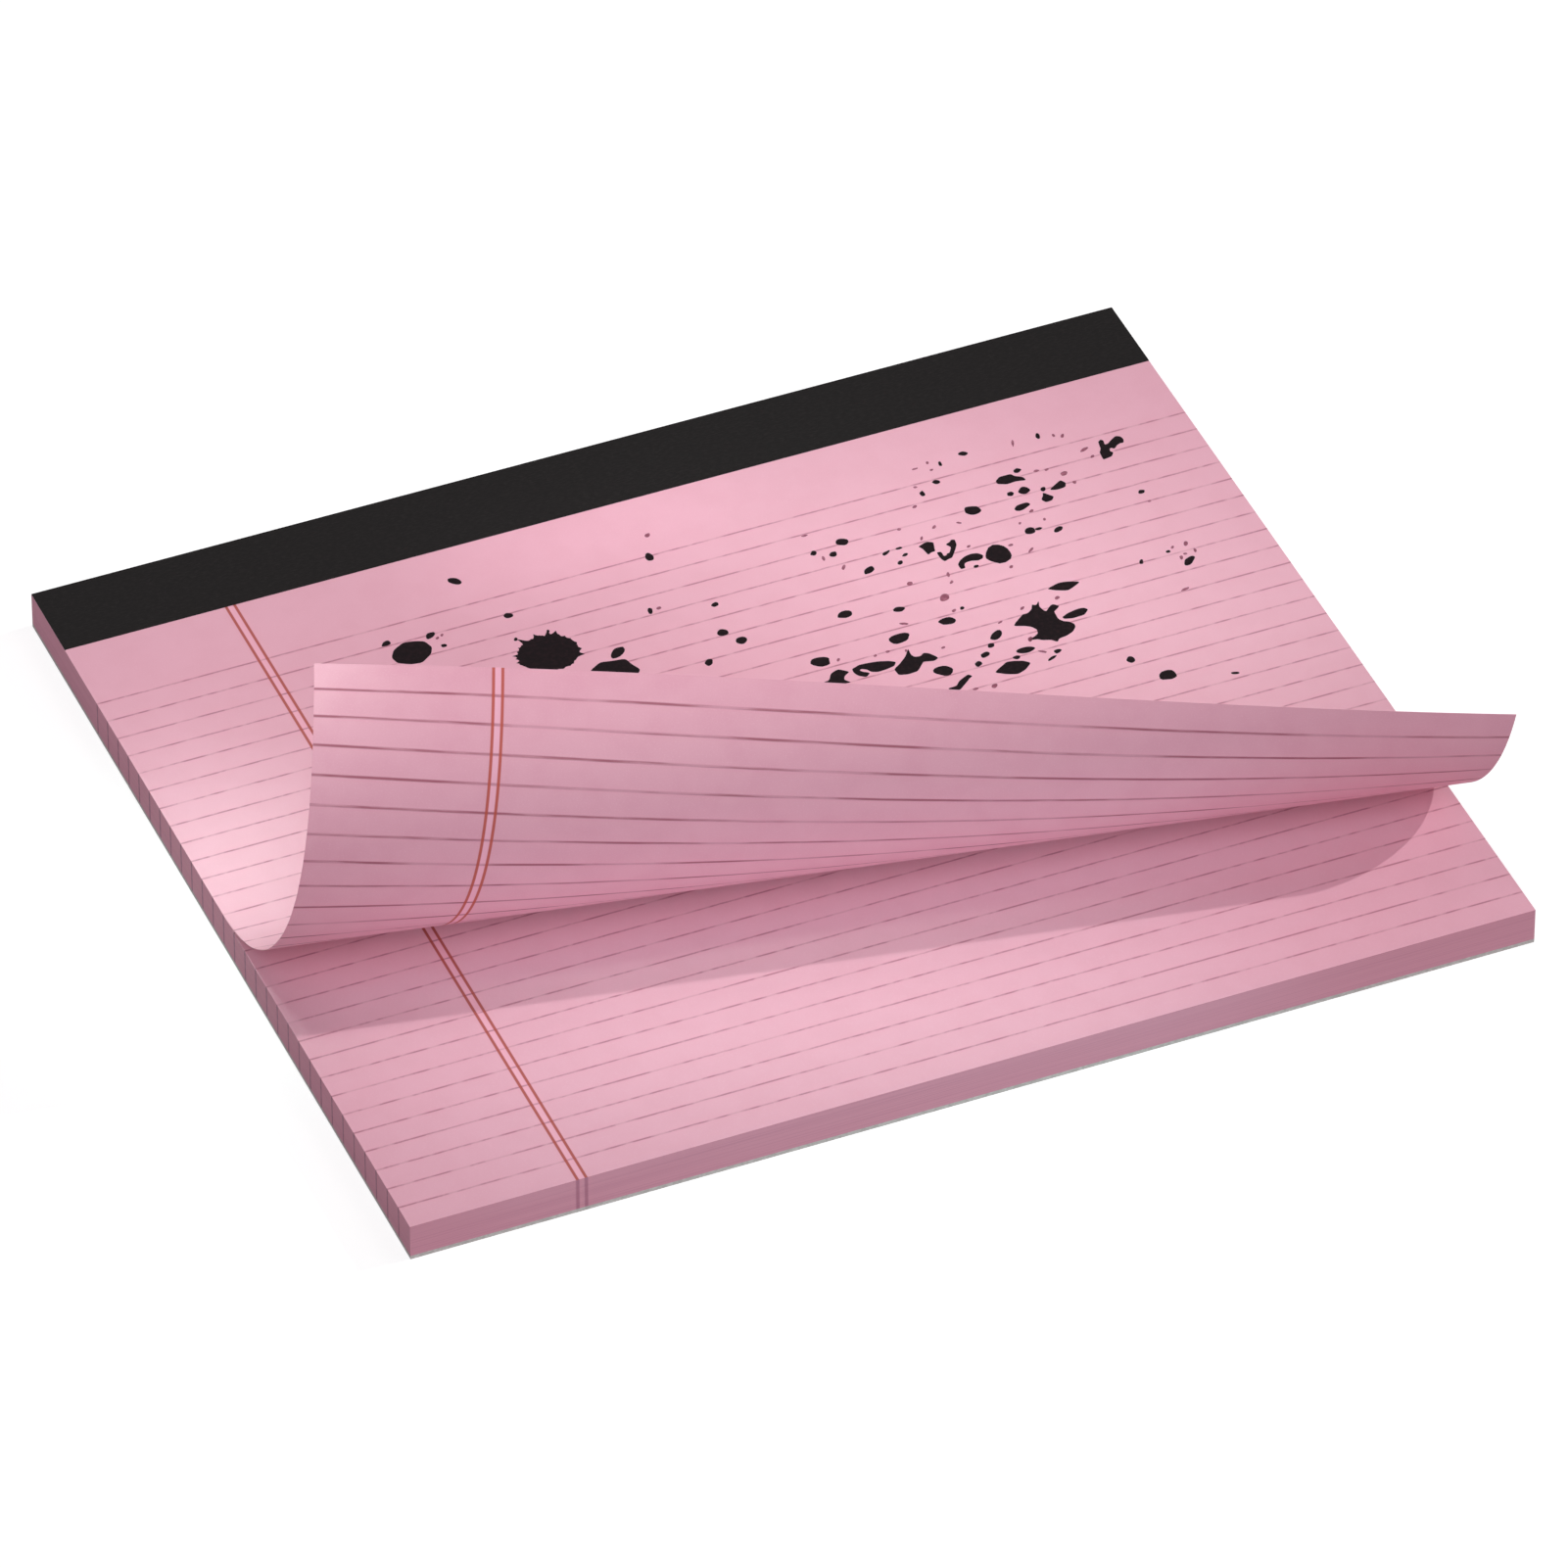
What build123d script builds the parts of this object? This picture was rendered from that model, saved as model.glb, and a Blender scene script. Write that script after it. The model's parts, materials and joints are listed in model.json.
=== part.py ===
from math import cos, degrees, pi, radians, sin, tan
import os

from build123d import *

# Ruled writing pad, wider than it is long, with its top sheet lifted and rolled back.
# The origin is the middle of the underside; the bound head is at +Y and the foot at -Y.

# Outline of the pad
pad_width = 279.4
pad_length = 241.3

# Stack of board and pages
board_thickness = 1.0
page_thickness = 0.1
page_count = 88

# Binding tape, folded round the head of the pad
tape_thickness = 0.15
tape_front_leg = 22.2
tape_back_leg = 22.2

# Wire staples under the tape
staple_count = 3
staple_spacing = 95.0
staple_inset = 9.0
staple_crown = 13.0
staple_clinch = 4.8
wire_thickness = 0.5
wire_width = 0.7
wire_bend = 0.4

# Roll of the lifted sheet: it leaves the pad on a slanting line and turns back at one radius
lift_at_left = 124.7
roll_slant = 10.9
roll_radius = 38.4

# Heights in the stack, and the edges of the pad
block_bottom = board_thickness
block_top = block_bottom + page_count * page_thickness
sheet_top = block_top + page_thickness
head = pad_length / 2
left = -pad_width / 2
right = pad_width / 2

# Directions of the roll, and how far the free corners lie forward of the lift line on the flat sheet
slant = radians(roll_slant)
along = Vector(cos(slant), -sin(slant), 0)
forward = Vector(-sin(slant), -cos(slant), 0)
up = Vector(0, 0, 1)
lift_at_right = lift_at_left + pad_width * tan(slant)
free_length = pad_length - lift_at_left
left_reach = free_length * cos(slant)
right_reach = left_reach - pad_width * sin(slant)
overrun = roll_radius / 10

# The roll's axis, over the left end of the lift line
sheet_middle = (block_top + sheet_top) / 2
roll_axis = Vector(left, head - lift_at_left, sheet_middle + roll_radius)


def roll_frame(reach, shift):
    # On the axis, shifted along it, with its first direction out to the sheet at that reach
    turn = reach / roll_radius
    outward = forward * sin(turn) - up * cos(turn)
    return Plane(origin=roll_axis + along * shift, x_dir=outward, z_dir=along)


def edge_cut(reach, shift, pitch, rise, lefthand):
    # A face through the sheet's thickness, along an edge of the sheet that winds round the roll
    inner = Helix(pitch, rise, roll_radius - overrun, lefthand=lefthand)
    outer = Helix(pitch, rise, roll_radius + overrun, lefthand=lefthand)
    return roll_frame(reach, shift).location * Face.make_surface_from_curves(inner, outer)


with BuildPart() as binding_tape:
    with BuildSketch(Plane.YZ):
        with BuildLine():
            Polyline(
                (head - tape_front_leg, sheet_top),
                (head, sheet_top),
                (head, tape_thickness),
                (head - tape_back_leg, tape_thickness),
                (head - tape_back_leg, 0),
                (head + tape_thickness, 0),
                (head + tape_thickness, sheet_top + tape_thickness),
                (head - tape_front_leg, sheet_top + tape_thickness),
                close=True,
            )
        tape_section = make_face()
        fillet(tape_section.vertices().group_by(Axis.X)[-1], radius=tape_thickness)
    extrude(amount=pad_width / 2, both=True)

with BuildPart() as staples:
    staple_height = sheet_top - tape_thickness
    with BuildSketch(Plane.XZ.offset(staple_inset - head)):
        with GridLocations(staple_spacing, staple_height, staple_count, 1):
            with Locations((0, (sheet_top + tape_thickness) / 2)):
                RectangleRounded(staple_crown, staple_height, wire_bend)
                Rectangle(
                    staple_crown - 2 * wire_thickness,
                    staple_height - 2 * wire_thickness,
                    mode=Mode.SUBTRACT,
                )
            with Locations((0, tape_thickness + wire_thickness / 2)):
                Rectangle(staple_crown - 2 * staple_clinch, wire_thickness, mode=Mode.SUBTRACT)
    extrude(amount=wire_width / 2, both=True)

# The tape and the wire are pressed into the stack, so the board lies flat and the crowns lie flush
with BuildPart() as backing_board:
    with BuildSketch():
        Rectangle(pad_width, pad_length)
    extrude(amount=board_thickness)
    add(binding_tape.part, mode=Mode.SUBTRACT)
    add(staples.part, mode=Mode.SUBTRACT)

with BuildPart() as sheet_block:
    with BuildSketch(Plane.XY.offset(block_bottom)):
        Rectangle(pad_width, pad_length)
    extrude(amount=block_top - block_bottom)
    add(staples.part, mode=Mode.SUBTRACT)

# The sheet's free end: a band turned about the roll's axis, trimmed along its two sides and its free edge
side_pitch = 2 * pi * roll_radius * tan(slant)
side_rise = (left_reach + 3 * overrun) * tan(slant)
side_lead = overrun * tan(slant)
free_pitch = 2 * pi * roll_radius / tan(slant)
free_rise = (left_reach - right_reach + 2 * overrun) / tan(slant)
free_lead = overrun / tan(slant)
band_width = pad_width / cos(slant) + side_rise + 2 * overrun
left_cut = edge_cut(-overrun, -side_lead, side_pitch, side_rise, True)
right_cut = edge_cut(-overrun, pad_width / cos(slant) - side_lead, side_pitch, side_rise, True)
free_cut = edge_cut(left_reach + overrun, free_length * sin(slant) - free_lead, free_pitch, free_rise, False)

with BuildPart() as rolled_end:
    with BuildSketch(Plane(origin=roll_axis, x_dir=along, z_dir=forward)):
        with Locations((-overrun, -roll_radius)):
            Rectangle(band_width, page_thickness, align=(Align.MIN, Align.CENTER))
    revolve(axis=Axis(roll_axis, -along), revolution_arc=degrees((left_reach + overrun) / roll_radius))
    split(bisect_by=left_cut, keep=Keep.TOP)
    split(bisect_by=right_cut, keep=Keep.BOTTOM)
    split(bisect_by=free_cut, keep=Keep.TOP)

with BuildPart() as lifted_sheet:
    with BuildSketch(Plane.XY.offset(block_top)):
        with BuildLine():
            Polyline(
                (left, head),
                (right, head),
                (right, head - lift_at_right),
                (left, head - lift_at_left),
                close=True,
            )
        make_face()
    extrude(amount=page_thickness)
    add(staples.part, mode=Mode.SUBTRACT)
    add(rolled_end.part)

os.makedirs("parts", exist_ok=True)
backing_board.part.label = "backing_board"
export_step(backing_board.part, "parts/backing_board.step")
sheet_block.part.label = "sheet_block"
export_step(sheet_block.part, "parts/sheet_block.step")
lifted_sheet.part.label = "lifted_sheet"
export_step(lifted_sheet.part, "parts/lifted_sheet.step")
binding_tape.part.label = "binding_tape"
export_step(binding_tape.part, "parts/binding_tape.step")
staples.part.label = "staples"
export_step(staples.part, "parts/staples.step")
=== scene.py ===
import json
from math import cos, radians, sin

import bmesh
import bpy
from mathutils import Matrix, Quaternion, Vector

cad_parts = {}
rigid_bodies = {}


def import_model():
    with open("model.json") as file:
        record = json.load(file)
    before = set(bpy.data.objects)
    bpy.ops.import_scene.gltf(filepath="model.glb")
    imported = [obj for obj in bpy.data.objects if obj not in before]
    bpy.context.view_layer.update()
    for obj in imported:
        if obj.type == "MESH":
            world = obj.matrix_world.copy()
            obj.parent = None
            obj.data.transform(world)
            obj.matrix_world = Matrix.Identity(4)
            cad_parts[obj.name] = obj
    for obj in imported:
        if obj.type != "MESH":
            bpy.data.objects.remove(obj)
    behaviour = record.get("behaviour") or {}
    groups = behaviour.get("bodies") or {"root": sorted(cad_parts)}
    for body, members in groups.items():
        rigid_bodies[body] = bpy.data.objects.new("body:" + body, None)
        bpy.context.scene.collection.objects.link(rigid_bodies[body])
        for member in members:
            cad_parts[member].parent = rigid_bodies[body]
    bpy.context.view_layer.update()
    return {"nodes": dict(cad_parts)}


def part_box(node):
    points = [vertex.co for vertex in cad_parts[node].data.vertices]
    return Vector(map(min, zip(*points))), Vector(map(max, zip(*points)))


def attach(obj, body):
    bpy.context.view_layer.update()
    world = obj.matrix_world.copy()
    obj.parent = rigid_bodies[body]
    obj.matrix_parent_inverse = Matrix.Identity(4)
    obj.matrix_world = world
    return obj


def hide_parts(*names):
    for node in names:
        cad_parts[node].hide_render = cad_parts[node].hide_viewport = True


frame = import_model()
cadNodes = frame["nodes"]
mm = 0.001

# The pad's edges and heights, read from the solids
blockLow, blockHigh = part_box("sheet_block")
padWidth = blockHigh.x - blockLow.x
padLength = blockHigh.y - blockLow.y
leftEdge = blockLow.x
headEdge = blockHigh.y
pageTop = blockHigh.z
print("frame loaded:", len(cadNodes), "nodes, pad", round(padWidth, 4), "by", round(padLength, 4))


def pagePoint(across, down, height):
    # Millimetres from the left edge and from the head, at a height in metres
    return Vector((leftEdge + across * mm, headEdge - down * mm, height))


# Helpers for objects

def clearSelection():
    bpy.ops.object.select_all(action="DESELECT")


def applyModifiers(piece):
    clearSelection()
    piece.select_set(True)
    bpy.context.view_layer.objects.active = piece
    for modifier in list(piece.modifiers):
        bpy.ops.object.modifier_apply(modifier=modifier.name)


# Helpers for nodes

def rgb(red, green, blue):
    # Screen colour, 0 to 255, as the linear colour that a node takes
    parts = [part / 255 for part in (red, green, blue)]
    linear = [part / 12.92 if part <= 0.04045 else ((part + 0.055) / 1.055) ** 2.4 for part in parts]
    return (*linear, 1.0)


def newMaterial(name):
    material = bpy.data.materials.new(name)
    material.use_nodes = True
    return material, material.node_tree, material.node_tree.nodes["Principled BSDF"]


def addNode(tree, kind, **settings):
    node = tree.nodes.new(kind)
    for name, value in settings.items():
        setattr(node, name, value)
    return node


def plug(tree, socket, value):
    # A socket is linked, anything else is typed in
    if isinstance(value, bpy.types.NodeSocket):
        tree.links.new(value, socket)
    else:
        socket.default_value = value


def calc(tree, operation, *values):
    node = addNode(tree, "ShaderNodeMath", operation=operation)
    for socket, value in zip(node.inputs, values):
        plug(tree, socket, value)
    return node.outputs[0]


def ramp(tree, value, low, high, start=0.0, end=1.0):
    # Smooth step from start at low to end at high
    node = addNode(tree, "ShaderNodeMapRange", interpolation_type="SMOOTHSTEP")
    for name, number in (("From Min", low), ("From Max", high), ("To Min", start), ("To Max", end)):
        plug(tree, node.inputs[name], number)
    plug(tree, node.inputs["Value"], value)
    return node.outputs["Result"]


def layOver(tree, amount, under, over):
    node = addNode(tree, "ShaderNodeMix", data_type="RGBA")
    plug(tree, node.inputs["Factor"], amount)
    plug(tree, node.inputs["A"], under)
    plug(tree, node.inputs["B"], over)
    return node.outputs["Result"]


def stretched(tree, place, scale):
    node = addNode(tree, "ShaderNodeMapping")
    plug(tree, node.inputs["Vector"], place)
    node.inputs["Scale"].default_value = scale
    return node.outputs["Vector"]


def noise(tree, place, scale, detail, rough):
    # Three scales stretch the pattern, one keeps it even
    if isinstance(scale, tuple):
        place = stretched(tree, place, scale)
        scale = 1.0
    node = addNode(tree, "ShaderNodeTexNoise")
    plug(tree, node.inputs["Vector"], place)
    node.inputs["Scale"].default_value = scale
    node.inputs["Detail"].default_value = detail
    node.inputs["Roughness"].default_value = rough
    return node.outputs["Fac"]


def split(tree, vector):
    node = addNode(tree, "ShaderNodeSeparateXYZ")
    tree.links.new(vector, node.inputs["Vector"])
    return node.outputs["X"], node.outputs["Y"], node.outputs["Z"]


def objectPlace(tree):
    return addNode(tree, "ShaderNodeTexCoord").outputs["Object"]


def bump(tree, shader, height, strength, distance):
    node = addNode(tree, "ShaderNodeBump")
    node.inputs["Strength"].default_value = strength
    node.inputs["Distance"].default_value = distance
    plug(tree, node.inputs["Height"], height)
    tree.links.new(node.outputs["Normal"], shader.inputs["Normal"])


# Camera: a long lens with a level horizon, at the photo's angle
cameraSet = {
    "lens": 331.73,
    "sensor": 36.0,
    "place": (-0.9982, -2.3697, 2.1950),
    "look": (0.29587, 0.70059, -0.64934),
}


def addCamera():
    data = bpy.data.cameras.new("padCamera")
    data.lens = cameraSet["lens"]
    data.sensor_width = cameraSet["sensor"]
    camera = bpy.data.objects.new("padCamera", data)
    bpy.context.scene.collection.objects.link(camera)
    camera.location = cameraSet["place"]
    camera.rotation_euler = Vector(cameraSet["look"]).to_track_quat("-Z", "Y").to_euler()
    bpy.context.scene.camera = camera


addCamera()
print("camera placed")


# Print on the pages: ruling across, a double margin line down the left
ruling = {
    "firstLine": 43.6 * mm,
    "pitch": 6.81 * mm,
    "count": 29,
    "edge": 0.11 * mm,
    "lineEdge": 0.2 * mm,
    "margins": (40.75 * mm, 42.85 * mm),
    "marginWidth": 0.7 * mm,
}


def ruledMask(tree, down, width, edge):
    # 1 on a ruled line; down is the distance from the head
    steps = calc(tree, "DIVIDE", calc(tree, "SUBTRACT", down, ruling["firstLine"]), ruling["pitch"])
    nearest = calc(tree, "MAXIMUM", calc(tree, "ROUND", steps), 0.0)
    nearest = calc(tree, "MINIMUM", nearest, ruling["count"] - 1.0)
    away = calc(tree, "ABSOLUTE", calc(tree, "SUBTRACT", steps, nearest))
    away = calc(tree, "MULTIPLY", away, ruling["pitch"])
    return ramp(tree, away, width / 2 - edge, width / 2 + edge, 1.0, 0.0)


def bandMask(tree, across, middle, width, edge):
    # 1 on a band down the page; across is the distance from the left edge
    away = calc(tree, "ABSOLUTE", calc(tree, "SUBTRACT", across, middle))
    return ramp(tree, away, width / 2 - edge, width / 2 + edge, 1.0, 0.0)


def marginMask(tree, across, width, edge):
    bands = [bandMask(tree, across, margin, width, edge) for margin in ruling["margins"]]
    return calc(tree, "MAXIMUM", *bands)


# Pink page paper; the print shows stronger on the back of the lifted sheet
paper = {
    "fibre": rgb(242, 194, 209),
    "rough": 0.78,
    "grain": {"scale": 2600.0, "detail": 3.0, "rough": 0.6},
    "grainRange": (0.5, 0.8),
    "grainMost": 0.5,
    "grainHeight": 0.02 * mm,
    "grainStrength": 0.35,
    "clouds": {"scale": 110.0, "detail": 3.0, "rough": 0.55},
    "cloudRange": (0.35, 0.7),
    "unevenRange": (0.36, 0.62),
    "betweenStrength": 0.6,
    "marginStrength": 0.92,
    "cutFibres": {"scale": 1800.0, "detail": 2.0, "rough": 0.6},
    "cutRough": 0.85,
    "front": {
        "pink": rgb(237, 180, 198),
        "cloud": rgb(235, 177, 195),
        "between": rgb(249, 184, 206),
        "line": rgb(166, 84, 108),
        "lineWidth": 0.46 * mm,
        "lineRange": (0.2, 0.76),
        "lineGrain": {"scale": (220.0, 500.0, 1.0), "detail": 4.0, "rough": 0.55},
        "margin": rgb(174, 72, 56),
    },
    "back": {
        # The back's pink and cloud are darker and redder than the front's: painted shade on the underside
        # of the roll.
        "pink": rgb(231, 170, 189),
        "cloud": rgb(228, 165, 185),
        "between": rgb(250, 184, 208),
        "line": rgb(144, 58, 80),
        "lineWidth": 0.62 * mm,
        "lineRange": (0.25, 0.84),
        "lineGrain": {"scale": (46.0, 600.0, 1.0), "detail": 4.0, "rough": 0.55},
        "margin": rgb(184, 76, 58),
    },
}


def pageColour(tree, shader, place, across, down, face):
    # Paper with its print
    grain = noise(tree, place, **paper["grain"])
    cloud = noise(tree, place, **paper["clouds"])
    colour = layOver(tree, ramp(tree, cloud, *paper["cloudRange"]), face["pink"], face["cloud"])
    fibres = ramp(tree, grain, *paper["grainRange"], 0.0, paper["grainMost"])
    colour = layOver(tree, fibres, colour, paper["fibre"])
    left, right = ruling["margins"]
    ground = bandMask(tree, across, (left + right) / 2, right - left, ruling["edge"])
    ground = calc(tree, "MULTIPLY", ground, paper["betweenStrength"])
    colour = layOver(tree, ground, colour, face["between"])
    uneven = noise(tree, place, **face["lineGrain"])
    uneven = ramp(tree, uneven, *paper["unevenRange"], *face["lineRange"])
    lines = ruledMask(tree, down, face["lineWidth"], ruling["lineEdge"])
    colour = layOver(tree, calc(tree, "MULTIPLY", lines, uneven), colour, face["line"])
    margins = marginMask(tree, across, ruling["marginWidth"], ruling["edge"])
    margins = calc(tree, "MULTIPLY", margins, paper["marginStrength"])
    colour = layOver(tree, margins, colour, face["margin"])
    shader.inputs["Roughness"].default_value = paper["rough"]
    bump(tree, shader, grain, paper["grainStrength"], paper["grainHeight"])
    return colour


def makeSheetFace(name, face):
    # The print follows the sheet round the roll, by its flat map
    material, tree, shader = newMaterial(name)
    flat = addNode(tree, "ShaderNodeUVMap", uv_map="flatPage")
    size = addNode(tree, "ShaderNodeMapping")
    tree.links.new(flat.outputs["UV"], size.inputs["Vector"])
    size.inputs["Scale"].default_value = (padWidth, -padLength, 1.0)
    size.inputs["Location"].default_value = (0.0, padLength, 0.0)
    across, down, _ = split(tree, size.outputs["Vector"])
    colour = pageColour(tree, shader, size.outputs["Vector"], across, down, face)
    tree.links.new(colour, shader.inputs["Base Color"])
    return material


def makeCutEdge():
    material, tree, shader = newMaterial("sheetCutEdge")
    fibres = noise(tree, objectPlace(tree), **paper["cutFibres"])
    colour = layOver(tree, fibres, paper["front"]["cloud"], paper["fibre"])
    tree.links.new(colour, shader.inputs["Base Color"])
    shader.inputs["Roughness"].default_value = paper["cutRough"]
    return material


# Block of pages under the lifted sheet: the print on top, and its ends down the cut sides
blockSides = {
    # The cut sides' colour is darker and redder than the top page's pink: painted shade on the upright
    # sides. The layer streaks are the page edges' own.
    "colour": rgb(222, 156, 176),
    "pageLine": rgb(200, 132, 154),
    "layers": {"scale": (12.0, 12.0, 5200.0), "detail": 2.0, "rough": 0.6},
    "layerRange": (0.45, 0.75),
    "layerMost": 0.6,
    "softEdge": 0.2 * mm,
    "ruleEnd": {"colour": rgb(120, 66, 90), "width": 0.7 * mm, "fade": (0.3, 0.7), "strength": (0.35, 0.8)},
    "marginEnd": {"colour": rgb(146, 70, 102), "width": 0.85 * mm, "strength": 0.52},
    "flatFrom": 0.5,
}


def makeBlockPaper():
    material, tree, shader = newMaterial("pageBlockPaper")
    coordinates = addNode(tree, "ShaderNodeTexCoord")
    place = coordinates.outputs["Object"]
    x, y, _ = split(tree, place)
    across = calc(tree, "SUBTRACT", x, leftEdge)
    down = calc(tree, "SUBTRACT", headEdge, y)
    top = pageColour(tree, shader, place, across, down, paper["front"])
    soft = blockSides["softEdge"]
    layers = noise(tree, place, **blockSides["layers"])
    shade = ramp(tree, layers, *blockSides["layerRange"], 0.0, blockSides["layerMost"])
    side = layOver(tree, shade, blockSides["colour"], blockSides["pageLine"])
    ruleEnd = blockSides["ruleEnd"]
    ends = ruledMask(tree, down, ruleEnd["width"], soft)
    ends = calc(tree, "MULTIPLY", ends, ramp(tree, layers, *ruleEnd["fade"], *ruleEnd["strength"]))
    side = layOver(tree, ends, side, ruleEnd["colour"])
    marginEnd = blockSides["marginEnd"]
    stripes = marginMask(tree, across, marginEnd["width"], soft)
    stripes = calc(tree, "MULTIPLY", stripes, marginEnd["strength"])
    side = layOver(tree, stripes, side, marginEnd["colour"])
    _, _, facing = split(tree, coordinates.outputs["Normal"])
    isFlat = calc(tree, "GREATER_THAN", calc(tree, "ABSOLUTE", facing), blockSides["flatFrom"])
    tree.links.new(layOver(tree, isFlat, side, top), shader.inputs["Base Color"])
    return material


# Top sheet, lifted at the foot and rolled back on a slant
roll = {
    "liftAtLeft": 124.7,
    "slant": 10.9,
    "radius": 38.4 * mm,
    "thickness": 0.1 * mm,
    "columns": 140,
    "rows": 120,
    "smoothAngle": 40.0,
}
sheetTop = pageTop + roll["thickness"]


def makeRolledSheet():
    clearSelection()
    columns = roll["columns"]
    bpy.ops.mesh.primitive_grid_add(x_subdivisions=columns, y_subdivisions=roll["rows"], size=1.0)
    sheet = bpy.context.object
    sheet.name = "rolled_sheet"
    sheet.data.name = "rolled_sheet"
    sheet.data.uv_layers[0].name = "flatPage"
    middle = pageTop + roll["thickness"] / 2
    bpy.ops.object.mode_set(mode="EDIT")
    bpy.ops.transform.resize(value=(padWidth, padLength, 1.0))
    bpy.ops.transform.translate(value=(0.0, headEdge - padLength / 2, middle))
    bpy.ops.object.mode_set(mode="OBJECT")

    # The bend's own axes: X along the lift line, Z forward over the sheet, Y up
    slant = radians(roll["slant"])
    along = Vector((cos(slant), -sin(slant), 0.0))
    forward = Vector((-sin(slant), -cos(slant), 0.0))
    up = Vector((0.0, 0.0, 1.0))
    liftPoint = pagePoint(0.0, roll["liftAtLeft"], middle)
    turn = Matrix((along, up, forward)).transposed()
    bpy.ops.object.empty_add(location=liftPoint, rotation=turn.to_euler())
    bendAxis = bpy.context.object
    reaches = [(corner.co - liftPoint).dot(forward) for corner in sheet.data.vertices]
    furthest = max(reaches)
    nearest = min(reaches)

    bend = sheet.modifiers.new("roll", "SIMPLE_DEFORM")
    bend.deform_method = "BEND"
    bend.deform_axis = "X"
    bend.origin = bendAxis
    bend.angle = furthest / roll["radius"]
    bend.limits = (-nearest / (furthest - nearest), 1.0)
    sheet.data.materials.append(makeSheetFace("sheetFront", paper["front"]))
    sheet.data.materials.append(makeSheetFace("sheetBack", paper["back"]))
    sheet.data.materials.append(makeCutEdge())
    wall = sheet.modifiers.new("thickness", "SOLIDIFY")
    wall.thickness = roll["thickness"]
    wall.offset = 0.0
    wall.material_offset = 1  # back of the sheet
    wall.material_offset_rim = 2  # cut edge
    applyModifiers(sheet)
    bpy.data.objects.remove(bendAxis)
    bpy.ops.object.shade_smooth_by_angle(angle=radians(roll["smoothAngle"]))
    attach(sheet, "root")
    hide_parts("lifted_sheet")
    return sheet


rolledSheet = makeRolledSheet()
print("rolled sheet:", len(rolledSheet.data.polygons), "faces")


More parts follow.
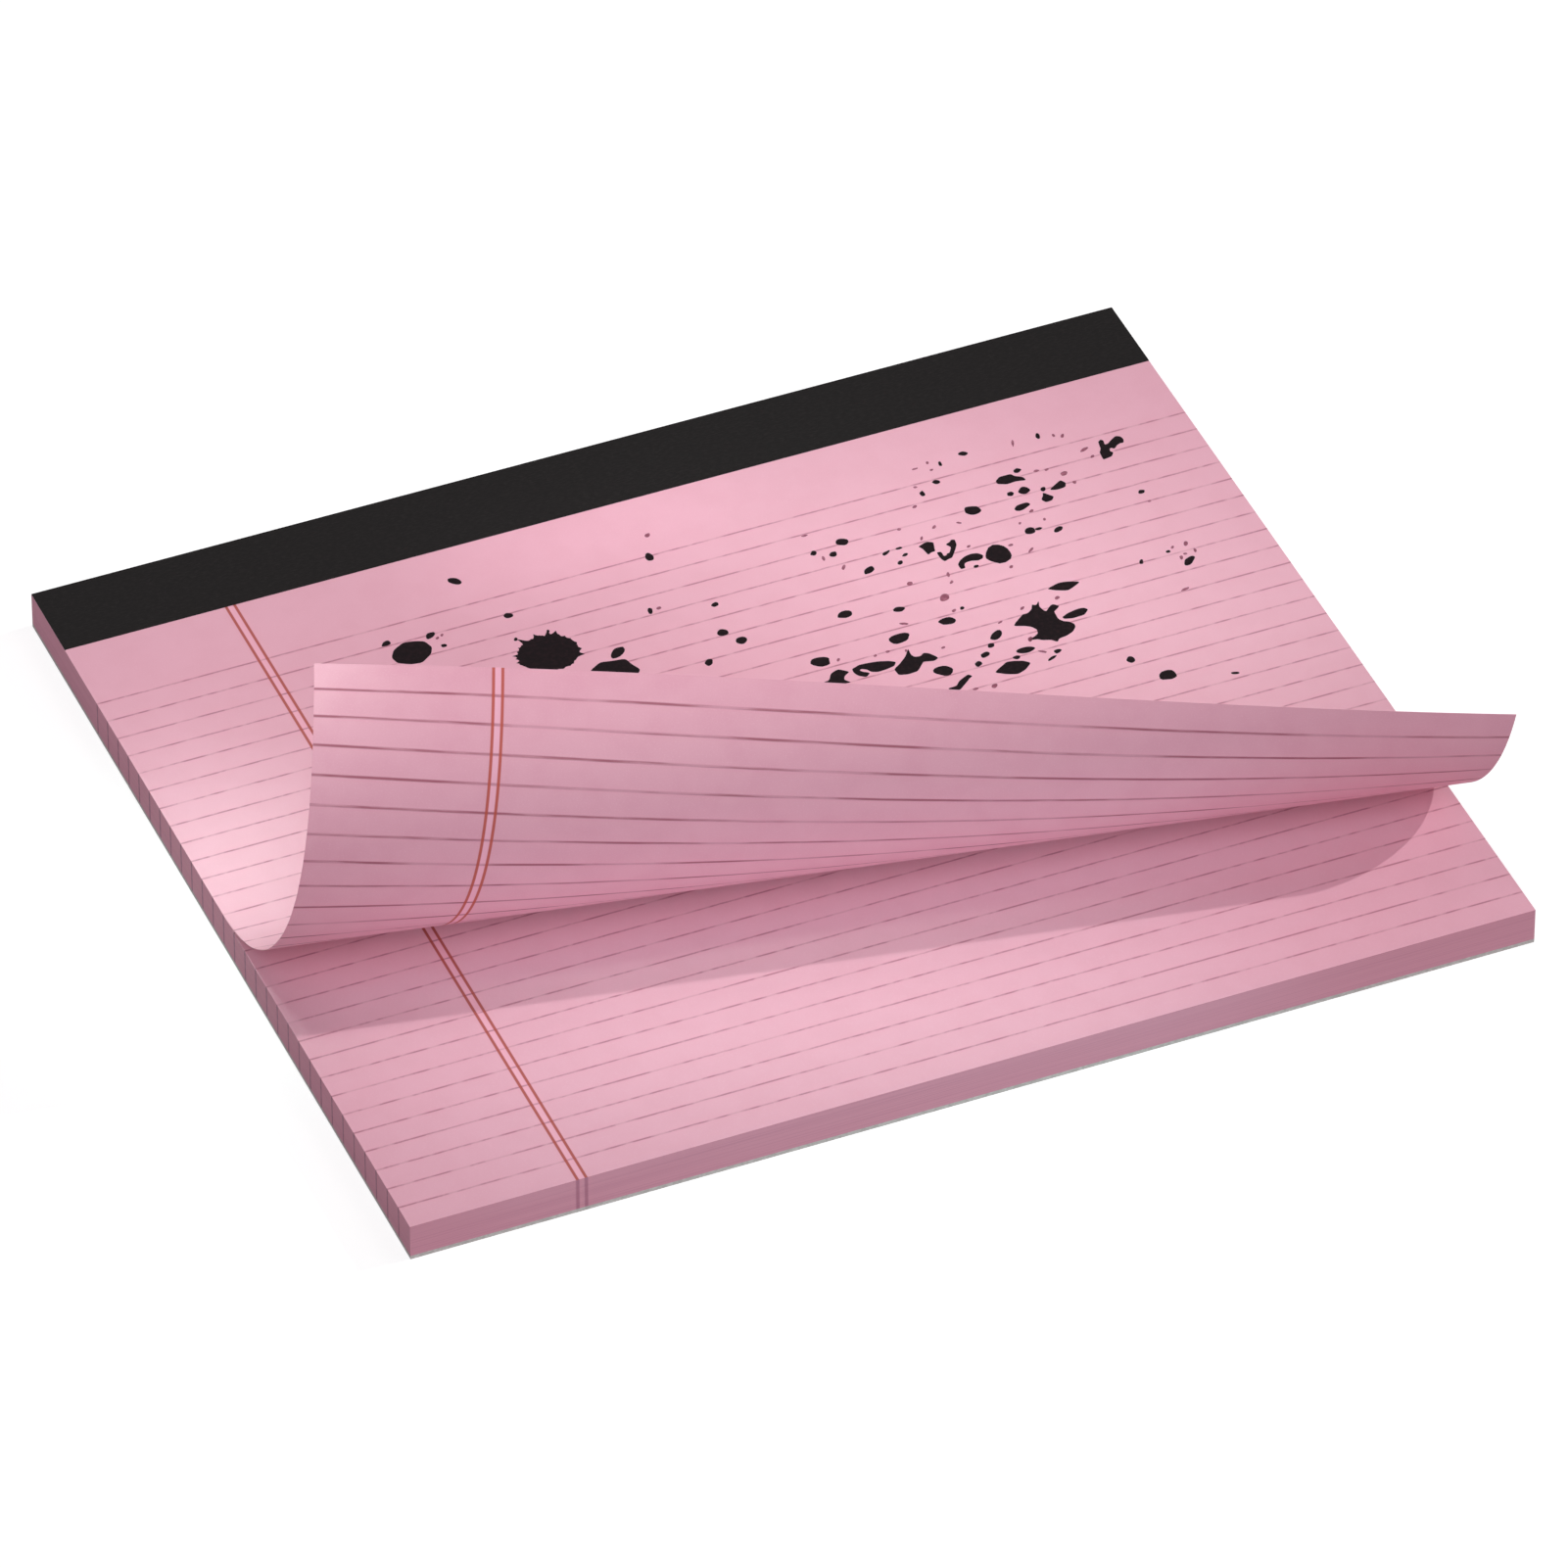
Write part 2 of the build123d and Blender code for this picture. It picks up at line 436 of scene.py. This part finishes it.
# Spattered ink, dried as a thin film on the top sheet
# Places and sizes in the lists are in millimetres, turns in degrees
ink = {
    "film": 0.02 * mm,
    "sunk": 0.005 * mm,
    "black": rgb(13, 6, 9),
    "brown": rgb(28, 15, 19),
    "thin": rgb(140, 80, 98),
    "thinEdge": rgb(176, 112, 130),
    "rough": 0.62,
    "shine": 0.06,
    "pooling": {"scale": 900.0, "detail": 3.0, "rough": 0.55},
    "poolRange": (0.4, 0.75),
    "poolHeight": 0.02 * mm,
    "poolStrength": 0.3,
    "swell": 1.06,
    "soften": 0.5,
    "drop": {"corners": 15, "ragged": 0.38},
    "splat": {"corners": 150, "ragged": 0.045},
    "spikeShares": (1.0, 0.5, 0.2),
    "runCuts": 3,
    "runRagged": 0.1,
    # Round and long drops: across, down, half length, half width, turn
    "drops": [
        (94.1, 34.2, 1.7, 1.05, -40), (101, 51, 1.1, 0.9, -20), (140, 44, 1.6, 0.95, 90),
        (132.5, 62.5, 1.1, 0.6, 80), (147.5, 66.3, 0.95, 0.75, 20), (145.2, 76.5, 1.35, 1.2, 0),
        (148.2, 80.8, 1.45, 1.2, 20), (138, 85.3, 1.4, 0.85, 40), (119.8, 73.5, 2.5, 1.35, 40),
        (70.7, 49.4, 1.4, 0.85, 28), (81.4, 50.7, 1.5, 0.85, 30), (82.9, 55.4, 0.7, 0.6, 0),
        (99.3, 59.8, 0.6, 0.45, 60), (107.5, 60.0, 0.5, 0.35, 70), (223.9, 37.3, 1.15, 0.8, -20),
        (243.1, 38.2, 1.1, 0.55, 75), (217.4, 38.7, 0.9, 0.45, 80), (213.8, 44.6, 0.85, 0.75, 0),
        (209, 47.4, 0.95, 0.65, 80), (233.4, 48.2, 0.95, 0.8, 20), (217.5, 57.8, 2.2, 1.7, 0),
        (236.3, 57, 0.9, 0.65, 60), (231.8, 55.8, 1.5, 1.3, 20), (228.3, 55.6, 0.9, 0.8, 30),
        (229.1, 61.1, 2.1, 1.05, 10), (184.2, 56.7, 1.55, 1.2, -15), (180.6, 60, 1.05, 0.9, 30),
        (176.4, 57.8, 0.95, 0.75, 40), (186, 68.8, 1.6, 0.95, 35), (192.3, 64.4, 1.35, 0.5, 30),
        (195.8, 64, 0.85, 0.4, 0), (196.2, 66.8, 0.9, 0.5, 25), (194, 69, 0.85, 0.6, 40),
        (216.5, 75.2, 3.1, 3.1, 0), (227, 70.2, 1.4, 1.2, 60), (229.3, 70.2, 0.85, 0.5, 0),
        (233.5, 72.3, 1.3, 0.8, 30), (257.5, 67, 0.85, 0.7, 20), (210, 77.3, 0.7, 0.5, 0),
        (174.3, 81.6, 1.9, 1.25, 8), (186.9, 84.8, 1.45, 0.9, 0), (200.8, 90.2, 0.6, 0.5, 40),
        (195.7, 93.2, 2.15, 1.3, -5), (182.9, 94.6, 2.8, 1.6, 8), (162.5, 95.4, 2.3, 1.6, -5),
        (187.7, 109.6, 2.5, 1.75, -12), (196.2, 110.5, 1.05, 0.85, 45), (198.9, 108.1, 1.25, 0.9, 30),
        (201.6, 105.5, 0.95, 0.7, 20), (204.3, 102.5, 1.9, 1.15, 35), (205.4, 111.8, 0.85, 0.7, 0),
        (208.4, 110.2, 2.2, 1.05, -4), (215.2, 113.5, 0.95, 0.7, 20), (213, 115.3, 1.3, 0.45, 25),
        (246.8, 91, 0.9, 0.5, 60), (257.5, 94.9, 1.9, 1.0, 35), (229.8, 123, 1.1, 1.1, 0),
        (235.5, 131.6, 2.1, 1.75, 0), (250.5, 137, 1.0, 0.5, -15), (254.2, 90, 0.6, 0.5, 0),
    ],
    # Thin half-dry flecks, given the same way
    "flecks": [
        (142.7, 36.3, 0.8, 0.6, 30), (134.8, 62.3, 0.7, 0.45, 20), (82.5, 52.2, 0.55, 0.35, 40),
        (83.9, 51.6, 0.5, 0.35, 50), (236.5, 38.3, 1.2, 0.35, 70), (214.7, 37.2, 0.55, 0.35, 60),
        (248.6, 40.3, 0.8, 0.4, 50), (205.4, 51.2, 0.7, 0.4, 30), (177, 51, 0.8, 0.35, 0),
        (251.3, 47.1, 1.2, 0.5, 25), (243.1, 53.6, 1.0, 0.7, 30), (237.5, 50.1, 0.7, 0.4, 0),
        (198.6, 57.5, 0.5, 0.45, 0), (206.6, 60, 0.7, 0.4, 40), (177.8, 60.6, 0.9, 0.35, 80),
        (180.9, 65.5, 1.0, 0.4, 60), (230.4, 63.5, 0.7, 0.4, 40), (193, 77, 0.75, 0.6, 30),
        (220.8, 73.2, 0.7, 0.4, 0), (232, 67.5, 0.6, 0.3, 60), (257.8, 71, 0.45, 0.35, 0),
        (202.3, 80.4, 0.7, 0.4, 50), (198.5, 85, 1.4, 1.0, 40), (185.8, 90.1, 1.1, 0.4, -30),
        (175, 98.3, 0.5, 0.35, 40), (178.3, 98.1, 0.5, 0.4, 20), (223, 95.5, 0.65, 0.5, 40),
        (213.8, 95.8, 0.7, 0.4, 40), (211, 107, 0.9, 0.6, 60), (252.2, 104.3, 1.1, 0.4, 15),
        (196.5, 119.3, 0.9, 0.6, 40), (256.2, 93.2, 0.7, 0.4, 70), (257.6, 92.3, 0.5, 0.4, 0),
        (255.8, 88.9, 0.6, 0.35, 50), (259.3, 88.9, 0.9, 0.45, 60), (260.3, 92, 0.8, 0.35, 80),
        (182.4, 99.4, 0.5, 0.3, 60), (211, 38.1, 0.8, 0.3, 0), (214.6, 40, 0.5, 0.35, 30),
        (246.7, 39.4, 0.6, 0.35, 90), (252.1, 50.3, 0.6, 0.4, 40), (240, 50.6, 0.6, 0.4, 20),
        (244.2, 57.6, 0.6, 0.45, 60), (226, 66.6, 0.5, 0.3, 60), (208.4, 44.5, 0.45, 0.4, 0),
        (202.2, 62.7, 0.7, 0.3, 60), (211.3, 69.8, 0.6, 0.4, 30), (212.7, 60.8, 0.6, 0.35, -40),
        (198.7, 90.3, 0.6, 0.4, 30), (202.7, 77.5, 0.9, 0.35, 75), (217.6, 80.7, 0.6, 0.45, 40),
        (224.4, 76.8, 1.1, 0.35, 40), (207, 98.5, 0.8, 0.3, 25), (191, 101.8, 0.6, 0.35, 20),
        (212, 112.3, 1.1, 0.35, -35), (166.4, 96.3, 0.7, 0.35, 50), (192, 118.6, 0.7, 0.4, 0),
    ],
    # Splats: across, down, half length, half width, then each spike's direction and its reach in radii
    "splats": [
        (104.6, 67.6, 7.0, 5.9, (
            (25, 1.05), (38, 1.08), (49, 1.12), (56, 1.28), (63, 1.04), (71, 1.34), (82, 1.06),
            (88, 1.10), (96, 1.26), (105, 1.06), (115, 1.08), (124, 1.38), (133, 1.07), (143, 1.10),
            (155, 1.06), (164, 1.18), (173, 1.10), (182, 1.14), (189, 1.08), (196, 1.05), (232, 1.05),
            (278, 1.07), (296, 1.08), (306, 1.06), (336, 1.18), (350, 1.07), (8, 1.04))),
    ],
    # Runs and joined drops, drawn round their rims
    "runs": [
        [(74.5, 50.6), (71.5, 52.2), (69.9, 54.6), (70.4, 57.2), (73.3, 58.8), (76, 59.2), (79, 57),
         (80.1, 54.8), (79.3, 52.2), (77.3, 51.2)],
        [(114.5, 75.3), (111, 77.3), (112, 79.6), (116, 82), (120.5, 83.4), (122.2, 81.5), (121, 78.8),
         (120.4, 76.4), (117.2, 76)],
        [(228.5, 48.7), (227, 49.8), (226.9, 51), (229, 52), (231.5, 51.8), (233.9, 52.4), (233.6, 50.9),
         (232, 49.9), (231.4, 48.8)],
        [(241.4, 55.5), (239.6, 56.5), (237.5, 57.9), (239.3, 58.6), (241.6, 58.3), (242.2, 56.9)],
        [(235.6, 58.2), (235.1, 59.4), (234.2, 60.6), (235, 61.9), (236.7, 61.6), (237.5, 60.5),
         (236.6, 59.4)],
        [(255.6, 45.7), (256.4, 45.2), (256.9, 45.8), (256.6, 47.4), (257.4, 47.3), (259, 46.1),
         (260.3, 45.4), (261.3, 45.9), (261.6, 47.2), (261.1, 48.4), (260.3, 48.3), (259.2, 48.7),
         (258.1, 49.7), (257.5, 49), (256.9, 49.5), (256.8, 50.2), (257.3, 50.9), (256.5, 52),
         (255.3, 52.3), (254, 52.4), (254.1, 51), (254.2, 49.7), (255, 48.5), (255.3, 47)],
        [(200.3, 65.3), (201.8, 64.6), (202.9, 64.3), (204.2, 65.1), (203.8, 66.6), (203.4, 68.3),
         (202.4, 68.4), (201.3, 69), (201.1, 67.6), (200.9, 66.4)],
        [(206.3, 74.9), (207.5, 73.7), (209.2, 72.8), (210.7, 72.5), (212.3, 72.9), (213.2, 74.1),
         (212.7, 75.2), (211.3, 75.5), (210, 75), (208.5, 75), (207.7, 75.5), (207.5, 76.9),
         (206.2, 76.9)],
        [(206.5, 67), (207.7, 66.6), (208.5, 65.9), (209.3, 66.2), (209.1, 67.9), (208.1, 69.5),
         (207, 70.9), (206.1, 72.1), (205, 72.4), (203.8, 72.7), (203.4, 71.2), (203.4, 68.9),
         (204.5, 69), (204.5, 70.9), (205.1, 70.8), (205.6, 70.2), (206.2, 70.2), (207, 69.1),
         (207.3, 68.4), (207.1, 67.9)],
        [(168, 100.7), (170.2, 99.9), (172.5, 100.1), (174.9, 100.5), (177.2, 101.3), (178.6, 102.3),
         (177.7, 103.5), (175.6, 103.9), (173.4, 104.1), (171.9, 103.4), (171.2, 102.2), (170.1, 101.5),
         (169.5, 101.8), (169.9, 102.5), (171.5, 103.6), (170.1, 104.7), (168.5, 103.6), (167.9, 101.9)],
        [(159.9, 102.6), (161.6, 102.3), (162.8, 100.2), (165, 99.4), (167.2, 101.4), (165.4, 102.4),
         (164.8, 103.6), (166.1, 105.1), (163.9, 104.9), (161.7, 103.9)],
        [(183.2, 98.8), (181.5, 101.2), (179.5, 103), (177.1, 104.6), (177.3, 107), (179.5, 107.6),
         (182, 107.4), (183.8, 105.6), (184.6, 104.7), (187, 105.5), (188.5, 104.8), (187, 102.4),
         (185.8, 101.8), (184.8, 102.6), (183.4, 102.3), (182.9, 101.3)],
        [(192.4, 113.1), (190.5, 113.9), (189.4, 114.6), (188.3, 115.9), (186.1, 115.9), (186.2, 116.9),
         (188.2, 117.6), (189.6, 116.7), (191.3, 115.3), (192, 114.7), (193.2, 114)],
        [(202.6, 112.4), (200.6, 113.5), (198.4, 114.9), (200.6, 116.4), (203.3, 117.6), (205.5, 116.8),
         (207.8, 114.9), (206.3, 113.5), (204.4, 112.8)],
        [(218.5, 94.8), (217.4, 96), (216.5, 95.4), (215.8, 97), (214.2, 98), (213, 97.9), (211.6, 99),
         (210.4, 99.9), (209.4, 101), (211.6, 101.9), (213.2, 103), (213.9, 104.2), (213.6, 105.6),
         (212.6, 106.3), (210.3, 107.2), (212.6, 107.6), (213.6, 108.4), (215.5, 109.1), (216.6, 110.3),
         (217.5, 109.4), (219.6, 109.1), (221.5, 108.3), (222.7, 107), (222.9, 105.7), (222.1, 104.6),
         (220.9, 103.9), (220.2, 102.9), (220.2, 100.6), (220.4, 99.7), (221.3, 99.2), (222.3, 98.4),
         (221.2, 97.2), (220.3, 97.5), (219.2, 98.5), (218.6, 99), (218.1, 98.2), (217.9, 96.8)],
        [(225.5, 101.1), (223, 101.6), (221.2, 102.4), (221.4, 103.2), (223.5, 103.8), (226.5, 103.7),
         (228.1, 102.2), (227.3, 101.2)],
        [(225.5, 90.5), (222, 91.5), (223.8, 92.8), (226.5, 94), (228.4, 93.2), (230.5, 92.1),
         (227.8, 90.9)],
    ],
}
inkFloor = sheetTop - ink["sunk"]


def makeInk(name, dark, light):
    material, tree, shader = newMaterial(name)
    pool = noise(tree, objectPlace(tree), **ink["pooling"])
    colour = layOver(tree, ramp(tree, pool, *ink["poolRange"]), dark, light)
    tree.links.new(colour, shader.inputs["Base Color"])
    shader.inputs["Roughness"].default_value = ink["rough"]
    shader.inputs["Specular IOR Level"].default_value = ink["shine"]
    bump(tree, shader, pool, ink["poolStrength"], ink["poolHeight"])
    return material


def addRim(across, down, longHalf, wideHalf, turn, rim, seed):
    # A round rim of one millimetre is roughened and softened, then stretched to its size and turned
    centre = pagePoint(across, down, inkFloor)
    corners = rim["corners"]
    bpy.ops.mesh.primitive_circle_add(vertices=corners, radius=mm, fill_type="NGON", location=centre)
    bpy.ops.transform.vertex_random(offset=rim["ragged"] * mm, seed=seed)
    bpy.ops.mesh.vertices_smooth(factor=ink["soften"], repeat=1)
    swell = ink["swell"]
    bpy.ops.transform.resize(value=(longHalf * swell, wideHalf * swell, 1.0), center_override=centre)
    bpy.ops.transform.rotate(value=-radians(turn), orient_axis="Z", center_override=centre)
    return centre


def addSpikes(mesh, centre, corners, spikes):
    # Some corners of the newest rim are drawn outwards, with the next ones following part of the way
    ring = list(mesh.verts)[-corners:]
    for direction, reach in spikes:
        heading = Vector((cos(radians(direction)), sin(radians(direction)), 0.0))
        tip = max(range(corners), key=lambda corner: (ring[corner].co - centre).normalized().dot(heading))
        for spread, share in enumerate(ink["spikeShares"]):
            bpy.ops.mesh.select_all(action="DESELECT")
            for side in {tip - spread, (tip + spread) % corners}:
                ring[side].select_set(True)
            mesh.select_flush_mode()
            grow = 1.0 + (reach - 1.0) * share
            bpy.ops.transform.resize(value=(grow, grow, 1.0), center_override=centre)


def addRun(outline):
    # One corner is drawn on to the next, then the loop is filled and its corners softened
    corners = [pagePoint(across, down, inkFloor) for across, down in outline]
    bpy.ops.mesh.primitive_plane_add(size=mm, location=corners[0])
    bpy.ops.mesh.merge(type="CENTER")
    for before, after in zip(corners, corners[1:]):
        bpy.ops.mesh.extrude_vertices_move(TRANSFORM_OT_translate={"value": after - before})
    bpy.ops.mesh.select_linked()
    bpy.ops.mesh.edge_face_add()
    bpy.ops.mesh.subdivide(number_cuts=ink["runCuts"])
    bpy.ops.transform.vertex_random(offset=ink["runRagged"] * mm, seed=len(outline))
    bpy.ops.mesh.vertices_smooth(factor=ink["soften"], repeat=1)


def paint(spatter, index):
    # Gives the selected faces a finish
    spatter.active_material_index = index
    bpy.ops.object.material_slot_assign()


def makeInkSpatter():
    clearSelection()
    data = bpy.data.meshes.new("ink_spatter")
    spatter = bpy.data.objects.new("ink_spatter", data)
    bpy.context.scene.collection.objects.link(spatter)
    data.materials.append(makeInk("dryInk", ink["black"], ink["brown"]))
    data.materials.append(makeInk("thinInk", ink["thin"], ink["thinEdge"]))
    bpy.context.view_layer.objects.active = spatter
    spatter.select_set(True)
    bpy.ops.object.mode_set(mode="EDIT")
    seed = 0
    for finish, drops in enumerate((ink["drops"], ink["flecks"])):
        for drop in drops:
            seed += 1
            addRim(*drop, ink["drop"], seed)
            paint(spatter, finish)
    for outline in ink["runs"]:
        addRun(outline)
        paint(spatter, 0)  # dry ink
    for across, down, longHalf, wideHalf, spikes in ink["splats"]:
        seed += 1
        centre = addRim(across, down, longHalf, wideHalf, 0.0, ink["splat"], seed)
        paint(spatter, 0)  # dry ink
        addSpikes(bmesh.from_edit_mesh(data), centre, ink["splat"]["corners"], spikes)

    # All facing up and flat on the sheet, then given the film's thickness
    bpy.ops.mesh.select_all(action="DESELECT")
    mesh = bmesh.from_edit_mesh(data)
    mesh.normal_update()
    for face in mesh.faces:
        face.select_set(face.normal.z < 0.0)
    bpy.ops.mesh.flip_normals()
    bpy.ops.mesh.select_all(action="SELECT")
    bpy.ops.transform.resize(value=(1.0, 1.0, 0.0), center_override=(0.0, 0.0, inkFloor))
    bpy.ops.object.mode_set(mode="OBJECT")
    film = spatter.modifiers.new("film", "SOLIDIFY")
    film.thickness = ink["film"]
    film.offset = 1.0
    applyModifiers(spatter)
    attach(spatter, "root")
    return spatter


inkSpatter = makeInkSpatter()
print("ink spatter:", len(inkSpatter.data.polygons), "faces")


# Grey board
board = {
    "grey": rgb(218, 213, 210),
    "dark": rgb(194, 188, 185),
    "pale": rgb(230, 227, 225),
    "rough": 0.88,
    "fibres": {"scale": (900.0, 2200.0, 2200.0), "detail": 4.0, "rough": 0.65},
    "fibreRange": (0.35, 0.65),
    "fibreHeight": 0.05 * mm,
    "fibreStrength": 0.4,
    "flecks": {"scale": 420.0, "detail": 3.0, "rough": 0.6},
    "fleckRange": (0.55, 0.75),
    "fleckMost": 0.6,
}


def makeChipboard():
    material, tree, shader = newMaterial("greyChipboard")
    place = objectPlace(tree)
    fibre = noise(tree, place, **board["fibres"])
    fleck = noise(tree, place, **board["flecks"])
    colour = layOver(tree, ramp(tree, fibre, *board["fibreRange"]), board["dark"], board["grey"])
    specks = ramp(tree, fleck, *board["fleckRange"], 0.0, board["fleckMost"])
    colour = layOver(tree, specks, colour, board["pale"])
    tree.links.new(colour, shader.inputs["Base Color"])
    shader.inputs["Roughness"].default_value = board["rough"]
    bump(tree, shader, fibre, board["fibreStrength"], board["fibreHeight"])
    return material


# Black binding tape
tape = {
    "black": rgb(20, 19, 19),
    "grey": rgb(33, 31, 31),
    "rough": 0.75,
    "shine": 0.1,
    "crepe": {"scale": (700.0, 2600.0, 2600.0), "detail": 3.0, "rough": 0.6},
    "crepeRange": (0.4, 0.8),
    "crepeHeight": 0.03 * mm,
    "crepeStrength": 0.3,
}


def makeTape():
    material, tree, shader = newMaterial("blackBindingTape")
    crepe = noise(tree, objectPlace(tree), **tape["crepe"])
    colour = layOver(tree, ramp(tree, crepe, *tape["crepeRange"]), tape["black"], tape["grey"])
    tree.links.new(colour, shader.inputs["Base Color"])
    shader.inputs["Roughness"].default_value = tape["rough"]
    shader.inputs["Specular IOR Level"].default_value = tape["shine"]
    bump(tree, shader, crepe, tape["crepeStrength"], tape["crepeHeight"])
    return material


# Staple wire
wire = {
    "steel": rgb(176, 178, 182),
    "drawn": rgb(140, 142, 146),
    "rough": 0.35,
    "streaks": {"scale": (300.0, 9000.0, 9000.0), "detail": 2.0, "rough": 0.5},
}


def makeWire():
    material, tree, shader = newMaterial("stapleWire")
    streaks = noise(tree, objectPlace(tree), **wire["streaks"])
    tree.links.new(layOver(tree, streaks, wire["drawn"], wire["steel"]), shader.inputs["Base Color"])
    shader.inputs["Metallic"].default_value = 1.0
    shader.inputs["Roughness"].default_value = wire["rough"]
    return material


def dress(node, material):
    slots = cadNodes[node].data.materials
    slots.clear()
    slots.append(material)


dress("sheet_block", makeBlockPaper())
dress("backing_board", makeChipboard())
dress("binding_tape", makeTape())
dress("staples", makeWire())
print("finishes made")


# Pale floor under a plain white sky
stage = {
    "floorSize": 6.0,
    "floorGap": 0.1 * mm,
    "floorColour": (0.4, 0.4, 0.4, 1.0),
    "floorGlow": 0.8,  # seen, but lights nothing
    "skyLight": 0.02,  # on things; the sky itself is seen white
}
# Soft suns: the direction to each, and its width in degrees
suns = {
    "key": {"from": (0.785, -0.040, 0.618), "width": 0.8, "power": 1.20, "tint": (0.97, 1.0, 0.95)},
    "frontFill": {"from": (-0.276, -0.651, 0.707), "width": 40.0, "power": 0.76, "tint": (0.93, 0.98, 1.0)},
    "frontLow": {"from": (-0.367, -0.865, 0.342), "width": 30.0, "power": 0.65, "tint": (0.98, 0.90, 0.94)},
    "leftFill": {"from": (-0.651, -0.276, 0.707), "width": 40.0, "power": 0.26, "tint": (1.0, 0.90, 0.96)},
    "rightFill": {"from": (0.612, -0.354, 0.707), "width": 40.0, "power": 0.31, "tint": (1.0, 0.97, 0.98)},
    "backFill": {"from": (0.367, 0.865, 0.342), "width": 40.0, "power": 0.32, "tint": (1.0, 0.66, 0.75)},
}
warmWhite = (1.0, 0.92, 0.96)
coolWhite = (0.62, 1.0, 0.83)
# Weak lamps that pool light on the pages and cool the shadow under the roll
# Place and aim as across, down and height, and size, in millimetres; turn and spread in degrees
pools = {
    "topBox": {"at": (134, 97, 300), "aim": (134, 97, 0), "size": (200, 100), "turn": -41.7,
               "spread": 180.0, "power": 0.170, "tint": (1.0, 0.88, 0.88)},
    "upperPool": {"at": (190, 75, 120), "aim": (190, 75, 0), "size": (160, 60), "turn": -45.0,
                  "spread": 180.0, "power": 0.025, "tint": warmWhite},
    "upperGlow": {"at": (205, 90, 300), "aim": (205, 90, 0), "size": (160, 50), "turn": -41.7,
                  "spread": 30.0, "power": 0.0120, "tint": coolWhite},
    "headPool": {"at": (128, 30, 140), "aim": (128, 30, 0), "size": (70, 10), "turn": 0.0,
                 "spread": 25.0, "power": 0.0008, "tint": warmWhite},
    "leftPool": {"at": (2, 100, 250), "aim": (5, 118, 9.8), "size": (40, 50), "turn": 0.0,
                 "spread": 30.0, "power": 0.0100, "tint": coolWhite},
    "lowerPool": {"at": (112, 209, 300), "aim": (112, 209, 0), "size": (140, 30), "turn": -20.0,
                  "spread": 25.0, "power": 0.0057, "tint": coolWhite},
    "shadowCard": {"at": (100, 320, 60), "aim": (125, 170, 9), "size": (200, 40), "turn": 0.0,
                   "spread": 40.0, "power": 0.0080, "tint": (0.40, 1.0, 0.95)},
    "shadowStrip": {"at": (138, 182, 17), "aim": (138, 182, 0), "size": (264, 6), "turn": -8.8,
                    "spread": 180.0, "power": 0.00065, "tint": (0.32, 1.0, 1.0)},
}


def seenDirectly(tree):
    # 1 for the eye, for reflections and through clear things
    path = addNode(tree, "ShaderNodeLightPath")
    eye = calc(tree, "MAXIMUM", path.outputs["Is Camera Ray"], path.outputs["Is Glossy Ray"])
    return calc(tree, "MAXIMUM", eye, path.outputs["Is Transmission Ray"])


def makeFloor():
    clearSelection()
    bpy.ops.mesh.primitive_plane_add(size=stage["floorSize"], location=(0.0, 0.0, -stage["floorGap"]))
    floor = bpy.context.object
    floor.name = "floor"
    material, tree, shader = newMaterial("paleFloor")
    shader.inputs["Base Color"].default_value = stage["floorColour"]
    shader.inputs["Roughness"].default_value = 1.0
    shader.inputs["Specular IOR Level"].default_value = 0.0
    glow = addNode(tree, "ShaderNodeEmission")
    plug(tree, glow.inputs["Strength"], calc(tree, "MULTIPLY", seenDirectly(tree), stage["floorGlow"]))
    both = addNode(tree, "ShaderNodeAddShader")
    tree.links.new(shader.outputs[0], both.inputs[0])
    tree.links.new(glow.outputs[0], both.inputs[1])
    tree.links.new(both.outputs[0], tree.nodes["Material Output"].inputs["Surface"])
    floor.data.materials.append(material)


def addLamp(name, kind, settings):
    data = bpy.data.lights.new(name, kind)
    data.energy = settings["power"]
    data.color = settings["tint"]
    lamp = bpy.data.objects.new(name, data)
    bpy.context.scene.collection.objects.link(lamp)
    return lamp


def lightScene():
    world = bpy.data.worlds.new("studio")
    bpy.context.scene.world = world
    world.use_nodes = True
    tree = world.node_tree
    sky = tree.nodes["Background"]
    sky.inputs["Color"].default_value = (1.0, 1.0, 1.0, 1.0)
    plug(tree, sky.inputs["Strength"], ramp(tree, seenDirectly(tree), 0.0, 1.0, stage["skyLight"], 1.0))
    for name, sun in suns.items():
        lamp = addLamp(name, "SUN", sun)
        lamp.data.angle = radians(sun["width"])
        lamp.rotation_euler = Vector(sun["from"]).to_track_quat("Z", "Y").to_euler()
    for name, pool in pools.items():
        lamp = addLamp(name, "AREA", pool)
        lamp.data.shape = "RECTANGLE"
        lamp.data.size = pool["size"][0] * mm
        lamp.data.size_y = pool["size"][1] * mm
        lamp.data.spread = radians(pool["spread"])
        lamp.location = pagePoint(pool["at"][0], pool["at"][1], pool["at"][2] * mm)
        back = lamp.location - pagePoint(pool["aim"][0], pool["aim"][1], pool["aim"][2] * mm)
        turn = Quaternion((0.0, 0.0, 1.0), radians(pool["turn"]))
        lamp.rotation_euler = (back.to_track_quat("Z", "Y") @ turn).to_euler()
        lamp.visible_camera = False


makeFloor()
lightScene()
bpy.context.scene.view_settings.view_transform = "Standard"
print("stage lit")
